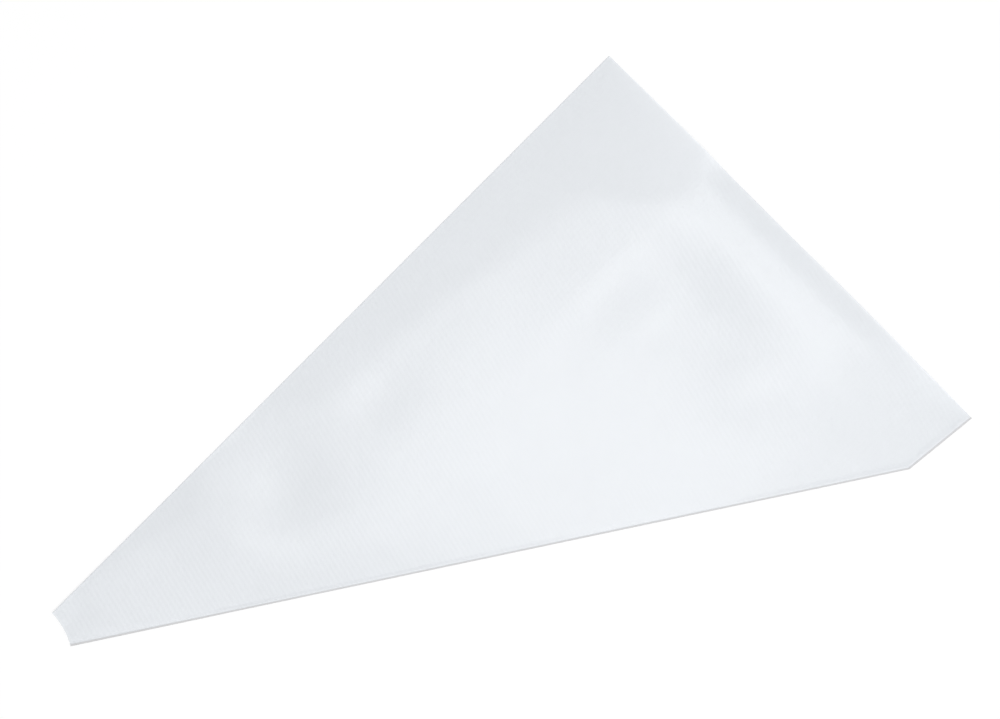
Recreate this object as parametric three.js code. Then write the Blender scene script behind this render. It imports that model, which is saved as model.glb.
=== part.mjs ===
// Disposable piping bag, lying empty on a table as it comes to rest, in mm with Z up.
// The mouth faces -Y, the closed tip +Y, the fold runs down the +X side and the weld down the other.
// The bag is one sheet of film folded once, then cut out and welded by a hot wire along its far side.
import * as THREE from "three";

// Outline of the bag pressed flat.
const FOLD = 320; // folded side, from the mouth to the tip
const MOUTH = 208.5; // open end, from the fold to the weld
const STUB = 32.5; // first stretch of the weld, from the mouth to its corner
const STUB_LEAN = 3.3; // how far that stretch leans in
const TIP = 15; // closed end, across
const TIP_SKEW = 4.1; // how far the weld runs on past the end of the fold
const TIP_DIP = 1; // bow of the closed end, inward

// Film and seal.
const FILM = 0.1; // one ply
const SEAL = 2.4; // sealed strip along the weld and across the tip
const BEAD = 0.5; // melted edge that the hot wire leaves, across
const BEAD_TALL = 0.42; // the same, in height

// How the empty bag lies: the lower ply is flat on the table and the upper one stands off it.
const BELLY = 7.2; // gap between the plies at the middle of the mouth
const SHOULDER = 0.42; // part of the width over which the upper ply climbs from each edge
const EDGE_LIFT = 0.6; // how far the fold and the weld stand off the table
const EDGE_REACH = 18; // width of the lifted border of the lower ply
const ROLL = 1.3; // low roll in the upper ply, just behind the mouth
const ROLL_AT = 18; // distance of the roll from the mouth
const ROLL_WIDE = 9; // half width of the roll
const ROLL_FROM = 52; // the roll starts this far from the fold
const ROLL_TO = 182; // and dies out here

// Soft swells of the upper ply: distance from the mouth, from the fold, both reaches and height.
const SWELLS = [
  { along: 52, across: 98, long: 22, wide: 26, tall: -1.0 },
  { along: 115, across: 42, long: 30, wide: 18, tall: 0.7 },
  { along: 163, across: 42, long: 16, wide: 13, tall: -1.0 },
  { along: 205, across: 62, long: 22, wide: 16, tall: -0.8 },
  { along: 220, across: 18, long: 17, wide: 10, tall: 0.6 },
];

// Mesh steps.
const STUB_ROWS = 6;
const BODY_ROWS = 27;
const COLUMNS = 18;

function clamp01(x) {
  return Math.min(1, Math.max(0, x));
}

// Climbs from 0 to 1 and is level at the end.
function climb(x) {
  const t = clamp01(x);
  return t * (2 - t);
}

// Level at both ends.
function ease(x) {
  const t = clamp01(x);
  return t * t * (3 - 2 * t);
}

// One row runs from the fold to the weld. The last row is the closed end itself.
function makeRows() {
  const corner = MOUTH - STUB_LEAN;
  const rows = [];
  for (let i = 0; i < STUB_ROWS; i++) {
    const t = i / STUB_ROWS;
    rows.push({ fold: STUB * t, far: STUB * t, width: MOUTH - STUB_LEAN * t, dip: 0 });
  }
  const sealShare = SEAL / (FOLD - STUB);
  for (let i = 0; i <= BODY_ROWS + 1; i++) {
    const t = i > BODY_ROWS ? 1 : (i / BODY_ROWS) * (1 - sealShare);
    rows.push({
      fold: STUB + (FOLD - STUB) * t,
      far: STUB + (FOLD + TIP_SKEW - STUB) * t,
      width: corner + (TIP - corner) * t,
      dip: TIP_DIP * t ** 12,
    });
  }
  return rows;
}

// Height of the lower ply's underside.
function underside(fromFold, fromFar) {
  const near = Math.min(fromFold, fromFar);
  return EDGE_LIFT * ease(1 - near / EDGE_REACH);
}

function roll(along, across) {
  const shape = Math.exp(-(((along - ROLL_AT) / ROLL_WIDE) ** 2));
  return ROLL * shape * ease((across - ROLL_FROM) / 24) * ease((ROLL_TO - across) / 70);
}

function swell(along, across) {
  let sum = 0;
  for (const s of SWELLS) {
    sum += s.tall * Math.exp(-(((along - s.along) / s.long) ** 2) - ((across - s.across) / s.wide) ** 2);
  }
  return sum;
}

// Gap between the plies, nought along both edges and at the closed end.
function gap(along, across, share) {
  const sides = climb(share / SHOULDER) * climb((1 - share) / SHOULDER);
  const run = climb(1.02 * (1 - along / FOLD)) ** 0.9;
  const loose = BELLY * run + roll(along, across) + swell(along, across);
  return Math.max(0, sides * loose);
}

// A point of the row at a distance from the fold. Heights are added by the callers.
function place(row, across, z) {
  const share = across / row.width;
  const along = row.fold + (row.far - row.fold) * share - row.dip * 4 * share * (1 - share);
  const length = FOLD + TIP_SKEW;
  return new THREE.Vector3(MOUTH / 2 - across, along - length / 2, z);
}

// Both faces of both plies where the film is free, from the inner crease to the seal.
function freeFilm(row, share, closed) {
  const across = FILM + (row.width - SEAL - FILM) * share;
  const along = row.fold + (row.far - row.fold) * (across / row.width);
  const low = underside(across, row.width - across);
  const open = closed || share === 0 || share === 1 ? 0 : gap(along, across, share);
  return {
    lowOut: place(row, across, low),
    lowIn: place(row, across, low + FILM),
    highIn: place(row, across, low + FILM + open),
    highOut: place(row, across, low + FILM + open + FILM),
  };
}

// The outside of one row: its top and its bottom, both from the fold to the melted edge of the weld.
function outerLoop(row, closed) {
  const noseMid = underside(0, row.width) + FILM;
  const farMid = underside(row.width, 0) + FILM;
  const top = [place(row, 0, noseMid + FILM / 2)];
  const bottom = [place(row, 0, noseMid - FILM / 2)];
  for (let j = 0; j <= COLUMNS; j++) {
    const film = freeFilm(row, j / COLUMNS, closed);
    top.push(film.highOut);
    bottom.push(film.lowOut);
  }
  const bead = [
    { in: BEAD, half: FILM },
    { in: BEAD / 2, half: BEAD_TALL / 2 },
    { in: 0, half: BEAD_TALL / 4 },
  ];
  for (const b of bead) {
    top.push(place(row, row.width - b.in, farMid + b.half));
    bottom.push(place(row, row.width - b.in, farMid - b.half));
  }
  return { top, bottom };
}

function innerLoop(row, closed) {
  const top = [];
  const bottom = [];
  for (let j = 0; j <= COLUMNS; j++) {
    const film = freeFilm(row, j / COLUMNS, closed);
    top.push(film.highIn);
    bottom.push(film.lowIn);
  }
  return { top, bottom };
}

function quad(points, a, b, c, d) {
  points.push(a, b, c, a, c, d);
}

// Skin between the loops of two rows. Turned inside out for the hollow.
function skin(points, near, next, inward) {
  const count = near.top.length;
  for (let j = 0; j < count - 1; j++) {
    const t = [near.top[j], near.top[j + 1], next.top[j + 1], next.top[j]];
    const b = [near.bottom[j], near.bottom[j + 1], next.bottom[j + 1], next.bottom[j]];
    if (inward) {
      quad(points, ...t);
      quad(points, b[3], b[2], b[1], b[0]);
    } else {
      quad(points, t[3], t[2], t[1], t[0]);
      quad(points, ...b);
    }
  }
}

// The two outer edges, where the top and bottom of the loop meet.
function edges(points, near, next) {
  const last = near.top.length - 1;
  quad(points, near.bottom[0], next.bottom[0], next.top[0], near.top[0]);
  quad(points, near.top[last], next.top[last], next.bottom[last], near.bottom[last]);
}

// The cut edge of the film around the mouth.
function rim(points, outer, inner) {
  const inside = (j) => Math.min(Math.max(j - 1, 0), inner.top.length - 1);
  for (let j = 0; j < outer.top.length - 1; j++) {
    const k = inside(j);
    const m = inside(j + 1);
    quad(points, outer.top[j], outer.top[j + 1], inner.top[m], inner.top[k]);
    quad(points, inner.bottom[k], inner.bottom[m], outer.bottom[j + 1], outer.bottom[j]);
  }
  const end = outer.top.length - 1;
  points.push(outer.bottom[0], outer.top[0], inner.top[0]);
  points.push(outer.top[end], outer.bottom[end], inner.top[inner.top.length - 1]);
}

// The cut face across the closed end.
function endFace(points, loop) {
  for (let j = 0; j < loop.top.length - 1; j++) {
    quad(points, loop.top[j + 1], loop.top[j], loop.bottom[j], loop.bottom[j + 1]);
  }
}

// Leaves out the triangles that shrink to a line where two plies share a crease.
function solidFrom(points) {
  const kept = [];
  for (let i = 0; i < points.length; i += 3) {
    const [a, b, c] = points.slice(i, i + 3);
    const flat = a.distanceTo(b) < 1e-6 || b.distanceTo(c) < 1e-6 || c.distanceTo(a) < 1e-6;
    if (!flat) kept.push(a, b, c);
  }
  const geometry = new THREE.BufferGeometry().setFromPoints(kept);
  geometry.computeVertexNormals();
  return geometry;
}

function bagGeometry() {
  const rows = makeRows();
  const lastFree = rows.length - 2;
  const outer = rows.map((row, i) => outerLoop(row, i >= lastFree));
  const inner = rows.slice(0, lastFree + 1).map((row, i) => innerLoop(row, i === lastFree));
  const points = [];
  for (let i = 0; i < outer.length - 1; i++) {
    skin(points, outer[i], outer[i + 1], false);
    edges(points, outer[i], outer[i + 1]);
  }
  for (let i = 0; i < inner.length - 1; i++) {
    skin(points, inner[i], inner[i + 1], true);
  }
  rim(points, outer[0], inner[0]);
  endFace(points, outer[outer.length - 1]);
  return solidFrom(points);
}

// Milky polyethylene film with a fine embossed grain.
function filmMaterial() {
  return new THREE.MeshStandardMaterial({ color: 0xe9eef2, roughness: 0.42, metalness: 0 });
}

function makeBag() {
  const bag = new THREE.Mesh(bagGeometry(), filmMaterial());
  bag.name = "bag";
  return bag;
}

const part = new THREE.Group();
part.name = "piping_bag";
part.add(makeBag());

export default part;
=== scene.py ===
from math import cos, exp, pi, radians, sin

import bmesh
import bpy
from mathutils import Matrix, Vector


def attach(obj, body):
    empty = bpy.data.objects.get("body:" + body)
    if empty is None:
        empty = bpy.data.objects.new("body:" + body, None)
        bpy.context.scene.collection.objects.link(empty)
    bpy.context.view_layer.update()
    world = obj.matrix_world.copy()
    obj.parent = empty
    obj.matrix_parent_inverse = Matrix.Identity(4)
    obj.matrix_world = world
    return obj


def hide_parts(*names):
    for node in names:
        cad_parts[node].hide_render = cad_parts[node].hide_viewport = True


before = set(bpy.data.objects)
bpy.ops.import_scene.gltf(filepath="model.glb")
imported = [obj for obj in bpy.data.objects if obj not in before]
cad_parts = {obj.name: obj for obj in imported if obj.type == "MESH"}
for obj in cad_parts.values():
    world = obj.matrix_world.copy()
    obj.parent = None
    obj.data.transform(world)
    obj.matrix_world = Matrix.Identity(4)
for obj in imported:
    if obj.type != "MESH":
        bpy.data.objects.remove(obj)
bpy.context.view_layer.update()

# Piping bag
# One sheet of thin milky polyethylene film, folded once along the bag's long side, then cut out and welded
# along the other side and across the tip by a hot wire, which leaves a fine bead. The wide end is open.
FOLD = 0.320  # folded side, mouth to tip
MOUTH = 0.2085  # open end, across
STUB = 0.0325  # first stretch of the weld, from the mouth to its corner
STUB_LEAN = 0.0033  # how far that stretch leans in
TIP = 0.015  # closed end, across
TIP_SKEW = 0.0041  # how far the weld runs on past the fold
TIP_DIP = 0.001  # inward bow of the closed end
FILM = 0.0001  # one ply
PRESSED = 0.00024  # both plies where the seal holds them together
BEND = 0.00018  # half the height of the fold's nose
BEAD = 0.0007  # melted edge of the weld, across
BEAD_TALL = 0.00055  # the same, in height
EDGE_LIFT = 0.0006  # how far the fold and the weld stand off the table
EDGE_REACH = 0.018  # width of the lifted border of the lower ply
TIP_CURL = 0.0015  # how far the last of the bag curls up off the table
TIP_CURL_FROM = 0.25  # where along the bag that begins
LIP = 0.0004  # how far the upper ply draws back in the middle of the mouth, and the lower one reaches out
LIP_AT = 0.085  # where along the mouth that is most, from the fold
LIP_WIDE = 0.028  # how far it reaches to either side
LIP_DEEP = 0.02  # how far it reaches into the bag

# The mesh has these steps of film at the fold, at the weld and at the tip, in metres from the edge.
FOLD_STEPS = (0.0, 0.00005, 0.00018, 0.0006)
WELD_STEPS = (0.0, 0.0001, 0.00035, 0.0006, BEAD, 0.0014, 0.0024)
TIP_STEPS = (0.0, 0.0002, 0.0006, 0.0013, 0.0024)
ACROSS = 116  # steps of one ply, from the fold to the weld
ALONG = 168  # steps from the mouth to the tip
STUB_STEPS = 18  # those of them beside the weld's first stretch
BEAD_STEPS = 4  # steps of WELD_STEPS that make the bead
FREE_STEPS = ACROSS - len(WELD_STEPS) - len(FOLD_STEPS) + 2  # steps across between the fold's and the weld's
LONG_STEPS = ALONG - len(TIP_STEPS) + 1 - STUB_STEPS  # steps along between the weld's corner and the tip's
FADE_STEPS = 8  # steps along over which the plies come together before the tip's
SAME_POINT = 0.000002  # points closer together than this become one

# How the upper ply stands, in millimetres. From the fold it climbs at the slope STEEP, as far out as STEEP_TO
# says, then at the slope GENTLE to the height TOP, and it comes down to the weld at the slope FALL. The first
# figure of each pair is the distance from the mouth.
STEEP = 0.12
STEEP_TO = [
    (0, 72), (22, 70), (36, 50), (52, 33), (85, 29), (110, 24), (135, 21),
    (176, 20), (206, 1), (230, 1), (252, 15), (274, 8), (320, 4),
]
GENTLE = [
    (0, 0.02), (40, 0.025), (55, 0.045), (75, 0.04), (95, 0.015),
    (172, 0.02), (200, 0.05), (240, 0.05), (270, 0.02), (320, 0.02),
]
TOP = [
    (0, 7.5), (22, 7.4), (46, 5.8), (90, 5.0), (140, 4.6), (172, 4.4),
    (190, 3.4), (215, 3.2), (250, 2.2), (280, 0.9), (300, 0.35), (320, 0.1),
]
FALL = [(0, 0.14), (30, 0.125), (55, 0.1), (80, 0.07), (110, 0.058), (140, 0.055), (175, 0.07), (205, 0.12)]
SOFT_FOLD = 0.5  # how softly STEEP passes into GENTLE
SOFT_TOP = 0.6  # how softly GENTLE passes into TOP
SOFT_WELD = 1.6  # how softly FALL sets in

# Just behind the mouth a low roll lies along it. This is how far the film is below it in front and behind.
ROLL_FRONT = [(-2, -2.5), (0, -2.0), (5, -0.9), (10, -0.15), (20, 0.0)]
ROLL_BACK = [(21, 0.0), (26, -0.5), (52, -3.9), (74, -4.1), (112, -1.6), (155, 0.0), (175, 0.0)]

# Across the bag each of these begins somewhere, comes in over a distance, ends, and goes out over another.
FRONT_SPAN = (55, 16, 198, 50)
BACK_SPAN = (58, 36, 172, 80)

# Soft swells and dents: along from the mouth, across from the fold, reach along, reach across, turn, height.
SWELLS = [
    (163, 31, 16, 13, 0, -1.0),
    (124, 42, 22, 15, 0, 0.4),
    (56, 134, 24, 14, -20, 0.7),
    (72, 82, 14, 12, 0, -0.3),
    (219, 32, 16, 17, 0, -1.4),
    (243, 26, 12, 14, 0, 0.5),
    (150, 105, 24, 12, -33, -0.25),
    (205, 60, 24, 16, -33, -0.5),
]
SWELL_BORDER = 5  # swells fade out over this distance from the fold and from the weld


def clamp01(x):
    return min(1.0, max(0.0, x))


def climb(x):
    """Climbs from 0 to 1 and is level at the end."""
    t = clamp01(x)
    return t * (2 - t)


def ease(x):
    """Climbs from 0 to 1 and is level at both ends."""
    t = clamp01(x)
    return t * t * (3 - 2 * t)


def arch(x):
    """Height of a half round at x, which runs from 0 to 2 across it."""
    return (1 - (x - 1) ** 2) ** 0.5


def lesser(a, b, soft):
    """The lesser of two heights, rounded where they cross."""
    t = clamp01(0.5 + 0.5 * (b - a) / soft)
    return b + (a - b) * t - soft * t * (1 - t)


def through(stops, x):
    """A smooth curve through the stops, level beyond the first and the last."""
    if x <= stops[0][0]:
        return stops[0][1]
    for i in range(len(stops) - 1):
        if x <= stops[i + 1][0]:
            (x0, y0), (x1, y1) = stops[i], stops[i + 1]
            before, after = stops[max(i - 1, 0)], stops[min(i + 2, len(stops) - 1)]
            slope0 = (y1 - before[1]) / (x1 - before[0])
            slope1 = (after[1] - y0) / (after[0] - x0)
            t = (x - x0) / (x1 - x0)
            level = y0 * (1 + 2 * t) * (1 - t) ** 2 + y1 * t * t * (3 - 2 * t)
            return level + (x1 - x0) * t * (1 - t) * (slope0 * (1 - t) - slope1 * t)
    return stops[-1][1]


def within(span, across):
    """1 inside the span and 0 outside it, with a soft start and a soft end."""
    start, rise, end, fall = span
    return ease((across - start) / rise) * ease((end - across) / fall)


def roll(along, across):
    front = through(ROLL_FRONT, along) * within(FRONT_SPAN, across)
    back = through(ROLL_BACK, along) * within(BACK_SPAN, across)
    return front + back


def swell(along, across):
    total = 0.0
    for at, off, long, wide, turn, tall in SWELLS:
        c, s = cos(radians(turn)), sin(radians(turn))
        x = (along - at) * c + (across - off) * s
        y = (across - off) * c - (along - at) * s
        total += tall * exp(-((x / long) ** 2) - (y / wide) ** 2)
    return total


def film_gap(along, across, width):
    """How far the plies stand apart, all in millimetres."""
    edge = width - across
    steep_to = through(STEEP_TO, along)
    gentle = STEEP * steep_to + through(GENTLE, along) * (across - steep_to)
    rising = lesser(lesser(STEEP * across, gentle, SOFT_FOLD), through(TOP, along), SOFT_TOP)
    body = lesser(rising, through(FALL, along) * edge, SOFT_WELD)
    border = climb(across / SWELL_BORDER) * climb(edge / SWELL_BORDER)
    return max(0.0, body + (roll(along, across) + swell(along, across)) * border)


def row_at(step):
    """One step along the bag: where it meets the fold and the weld, its width, and its share of the run."""
    if step < STUB_STEPS:
        t = step / STUB_STEPS
        return STUB * t, STUB * t, MOUTH - STUB_LEAN * t, 0.0
    body = FOLD - STUB
    back = ALONG - step
    if back < len(TIP_STEPS):
        t = 1 - TIP_STEPS[back] / body
    else:
        t = (1 - TIP_STEPS[-1] / body) * (step - STUB_STEPS) / LONG_STEPS
    corner = MOUTH - STUB_LEAN
    return STUB + body * t, STUB + (body + TIP_SKEW) * t, corner + (TIP - corner) * t, t


def across_at(column, width):
    """How far one step across the film lies from the fold."""
    back = ACROSS - column
    if column < len(FOLD_STEPS):
        return FOLD_STEPS[column]
    if back < len(WELD_STEPS):
        return width - WELD_STEPS[back]
    free = width - WELD_STEPS[-1] - FOLD_STEPS[-1]
    return FOLD_STEPS[-1] + free * (column - len(FOLD_STEPS) + 1) / FREE_STEPS


def closed_thickness(across, edge, sealed):
    """Both plies where nothing parts them: round at the fold, flat in the seal, a bead at the end."""
    if edge < BEAD:
        bead = BEAD_TALL * arch(2 * edge / BEAD)
        return bead if edge < BEAD / 2 else max(bead, PRESSED)
    if sealed:
        return PRESSED
    return 2 * BEND * (arch(across / BEND) if across < BEND else 1)


def film_point(step, column, upper):
    """Where the film's outer face lies at one step along the bag and one step across it."""
    fold_y, weld_y, width, run = row_at(step)
    across = across_at(column, width)
    share = across / width
    edge = width - across
    along = fold_y + (weld_y - fold_y) * share
    sealed = ACROSS - column < len(WELD_STEPS) - 1 or ALONG - step < len(TIP_STEPS) - 1
    lift = EDGE_LIFT * ease(1 - min(across, edge) / EDGE_REACH)
    gap = 0.0
    if not sealed:
        gap = film_gap(along * 1000, across * 1000, width * 1000) / 1000 + EDGE_LIFT - lift
        gap *= ease((ALONG - step - len(TIP_STEPS) + 1) / FADE_STEPS)
    thick = closed_thickness(across, edge, sealed)
    along -= TIP_DIP * run**12 * 4 * share * (1 - share)
    parted = exp(-(((across - LIP_AT) / LIP_WIDE) ** 2)) * max(0.0, 1 - along / LIP_DEEP) ** 2
    along += LIP * parted * (1 if upper else -1)
    low = lift + BEND - thick / 2 + TIP_CURL * ease((along - TIP_CURL_FROM) / (FOLD - TIP_CURL_FROM))
    return Vector((MOUTH / 2 - across, along - (FOLD + TIP_SKEW) / 2, low + (thick + gap if upper else 0.0)))


# The sheet is a flat grid with the fold down its middle. It becomes the two plies and is given its thickness.
mesh = bpy.data.meshes.new("bag_film")
bm = bmesh.new()
bmesh.ops.create_grid(bm, x_segments=2 * ACROSS, y_segments=ALONG, size=1)
for f in bm.faces:
    f.smooth = True
    f.material_index = int(abs(f.calc_center_median().x) * ACROSS > ACROSS - BEAD_STEPS)
for v in bm.verts:
    column = round(v.co.x * ACROSS)
    v.co = film_point(round((v.co.y + 1) / 2 * ALONG), abs(column), column >= 0)
bmesh.ops.remove_doubles(bm, verts=bm.verts, dist=SAME_POINT)
bmesh.ops.recalc_face_normals(bm, faces=bm.faces)
for e in bm.edges:
    e.smooth = not e.is_boundary
bm.to_mesh(mesh)
bm.free()
bag = bpy.data.objects.new("bag_film", mesh)
bpy.context.scene.collection.objects.link(bag)
wall = bag.modifiers.new("wall", "SOLIDIFY")
wall.thickness = FILM
wall.offset = -1
wall.use_even_offset = False

# The film is milky with a bluish cast, a little cloudy, and dull with a soft sheen.
film = bpy.data.materials.new("milky_film")
film.use_nodes = True
nodes = film.node_tree.nodes
links = film.node_tree.links
shader = nodes["Principled BSDF"]
shader.inputs["Roughness"].default_value = 0.43
shader.inputs["IOR"].default_value = 1.5
shader.inputs["Alpha"].default_value = 0.6
place = nodes.new("ShaderNodeTexCoord")
cloud = nodes.new("ShaderNodeTexNoise")
cloud.inputs["Scale"].default_value = 60
cloud.inputs["Detail"].default_value = 3
tint = nodes.new("ShaderNodeMix")
tint.data_type = "RGBA"
tint.inputs["A"].default_value = (0.86, 0.885, 0.915, 1)
tint.inputs["B"].default_value = (0.88, 0.905, 0.935, 1)
links.new(place.outputs["Object"], cloud.inputs["Vector"])
links.new(cloud.outputs["Fac"], tint.inputs["Factor"])
links.new(tint.outputs["Result"], shader.inputs["Base Color"])

# A roller presses the grain in, two crossing sets of fine ribs about 2 mm apart. The film is uneven too.
RIBS = ((122.9, 491.8, 0, 0.5), (-479.5, 0, 0, 0.5))  # waves to the metre along X, Y and Z, and height
UNEVEN = 2.5  # height of the unevenness, on the same scale
bumps = nodes.new("ShaderNodeTexNoise")
bumps.inputs["Scale"].default_value = 420
bumps.inputs["Detail"].default_value = 2
links.new(place.outputs["Object"], bumps.inputs["Vector"])
height = nodes.new("ShaderNodeMath")
height.operation = "MULTIPLY"
height.inputs[1].default_value = UNEVEN
links.new(bumps.outputs["Fac"], height.inputs[0])
for along_x, along_y, along_z, tall in RIBS:
    phase = nodes.new("ShaderNodeVectorMath")
    phase.operation = "DOT_PRODUCT"
    phase.inputs[1].default_value = Vector((along_x, along_y, along_z)) * 2 * pi
    links.new(place.outputs["Object"], phase.inputs[0])
    wave = nodes.new("ShaderNodeMath")
    wave.operation = "SINE"
    links.new(phase.outputs["Value"], wave.inputs[0])
    ribbed = nodes.new("ShaderNodeMath")
    ribbed.operation = "MULTIPLY_ADD"
    ribbed.inputs[1].default_value = tall
    links.new(wave.outputs[0], ribbed.inputs[0])
    links.new(height.outputs[0], ribbed.inputs[2])
    height = ribbed

# Three small dents from handling: by the fold near the mouth, by the fold farther on, and in the middle.
DENTS = ((0.1006, -0.1538, 0.0012), (0.0738, -0.0291, 0.0022), (0.0338, 0.0180, 0.0010))  # x, y and reach
DENT_DEEP = 4  # depth of a dent, on the same scale as the ribs
flat = nodes.new("ShaderNodeVectorMath")
flat.operation = "MULTIPLY"
flat.inputs[1].default_value = (1, 1, 0)
links.new(place.outputs["Object"], flat.inputs[0])
for x, y, reach in DENTS:
    away = nodes.new("ShaderNodeVectorMath")
    away.operation = "DISTANCE"
    away.inputs[1].default_value = (x, y, 0)
    links.new(flat.outputs[0], away.inputs[0])
    dent = nodes.new("ShaderNodeMapRange")
    dent.inputs["From Max"].default_value = reach
    dent.inputs["To Min"].default_value = -DENT_DEEP
    dent.inputs["To Max"].default_value = 0
    links.new(away.outputs["Value"], dent.inputs["Value"])
    dented = nodes.new("ShaderNodeMath")
    dented.operation = "ADD"
    links.new(height.outputs[0], dented.inputs[0])
    links.new(dent.outputs[0], dented.inputs[1])
    height = dented
press = nodes.new("ShaderNodeBump")
press.inputs["Strength"].default_value = 0.5
press.inputs["Distance"].default_value = 0.00003
links.new(height.outputs[0], press.inputs["Height"])
links.new(press.outputs[0], shader.inputs["Normal"])
mesh.materials.append(film)

# The bead of the weld is the same film melted together. Its colour is painted darker than the sheet, partly
# for the thicker melted film and partly as painted shade for the thin shadow along the welded edges.
bead_with_shade = bpy.data.materials.new("bead_and_painted_shade")
bead_with_shade.use_nodes = True
shader = bead_with_shade.node_tree.nodes["Principled BSDF"]
# Painted shade: this grey is partly the melted film and partly the shadow along the weld, painted in.
shader.inputs["Base Color"].default_value = (0.58, 0.58, 0.59, 1)
shader.inputs["Roughness"].default_value = 0.5
shader.inputs["IOR"].default_value = 1.5
mesh.materials.append(bead_with_shade)

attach(bag, "root")
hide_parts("bag")

# Floor
# Plain white table that the bag lies on. It shows nearly white to the camera and keeps a faint shadow.
FLOOR_REACH = 3  # from its middle to each side
FLOOR_DROP = 0.0002  # how far it is below the film, so that the two never share a plane
FLOOR_GLOW = 0.8  # share of plain white in what the camera sees of it
floor_mesh = bpy.data.meshes.new("floor")
bm = bmesh.new()
bmesh.ops.create_grid(bm, x_segments=1, y_segments=1, size=FLOOR_REACH)
bm.to_mesh(floor_mesh)
bm.free()
floor = bpy.data.objects.new("floor", floor_mesh)
floor.location.z = -FLOOR_DROP
bpy.context.scene.collection.objects.link(floor)
white = bpy.data.materials.new("white_floor")
white.use_nodes = True
nodes = white.node_tree.nodes
links = white.node_tree.links
nodes.clear()
surface = nodes.new("ShaderNodeOutputMaterial")
matt = nodes.new("ShaderNodeBsdfDiffuse")
matt.inputs["Color"].default_value = (0.97, 0.97, 0.97, 1)
glow = nodes.new("ShaderNodeEmission")
glow.inputs["Color"].default_value = (1, 1, 1, 1)
glow.inputs["Strength"].default_value = 1
ray = nodes.new("ShaderNodeLightPath")
camera_or_gloss = nodes.new("ShaderNodeMath")
camera_or_gloss.operation = "MAXIMUM"
links.new(ray.outputs["Is Camera Ray"], camera_or_gloss.inputs[0])
links.new(ray.outputs["Is Glossy Ray"], camera_or_gloss.inputs[1])
looked_at = nodes.new("ShaderNodeMath")
looked_at.operation = "MAXIMUM"
links.new(camera_or_gloss.outputs[0], looked_at.inputs[0])
links.new(ray.outputs["Is Transmission Ray"], looked_at.inputs[1])
glow_share = nodes.new("ShaderNodeMath")
glow_share.operation = "MULTIPLY"
glow_share.inputs[1].default_value = FLOOR_GLOW
links.new(looked_at.outputs[0], glow_share.inputs[0])
blend = nodes.new("ShaderNodeMixShader")
links.new(glow_share.outputs[0], blend.inputs[0])
links.new(matt.outputs[0], blend.inputs[1])
links.new(glow.outputs[0], blend.inputs[2])
links.new(blend.outputs[0], surface.inputs[0])
floor_mesh.materials.append(white)

# Camera and light
# Straight above the bag, turned so that the fold runs from upper right to lower left, under a wide soft lamp.
SPAN = 0.4067  # width of the view on the table
VIEW_AT = (0.0483, -0.0434)  # point of the table in the middle of the view
VIEW_TURN = -135.02  # degrees
LENS = 100  # millimetres
SENSOR = 36  # millimetres
LAMP_WIDE = 0.6
LAMP_LONG = 0.7
LAMP_WATTS = 17.5
LAMP_AT = (-0.16, -0.08, 1.5)
ROOM_LIGHT = 0.4  # even white light from all round
view = bpy.data.cameras.new("camera")
view.lens = LENS
view.sensor_width = SENSOR
camera = bpy.data.objects.new("camera", view)
camera.location = (*VIEW_AT, SPAN * LENS / SENSOR)
camera.rotation_euler = (0, 0, radians(VIEW_TURN))
bpy.context.scene.collection.objects.link(camera)
bpy.context.scene.camera = camera

lamp = bpy.data.lights.new("softbox", "AREA")
lamp.shape = "RECTANGLE"
lamp.size = LAMP_WIDE
lamp.size_y = LAMP_LONG
lamp.energy = LAMP_WATTS
softbox = bpy.data.objects.new("softbox", lamp)
softbox.location = LAMP_AT
bpy.context.scene.collection.objects.link(softbox)

world = bpy.data.worlds.new("world")
world.use_nodes = True
world.node_tree.nodes["Background"].inputs["Color"].default_value = (1, 1, 1, 1)
world.node_tree.nodes["Background"].inputs["Strength"].default_value = ROOM_LIGHT
bpy.context.scene.world = world
bpy.context.scene.view_settings.view_transform = "Standard"
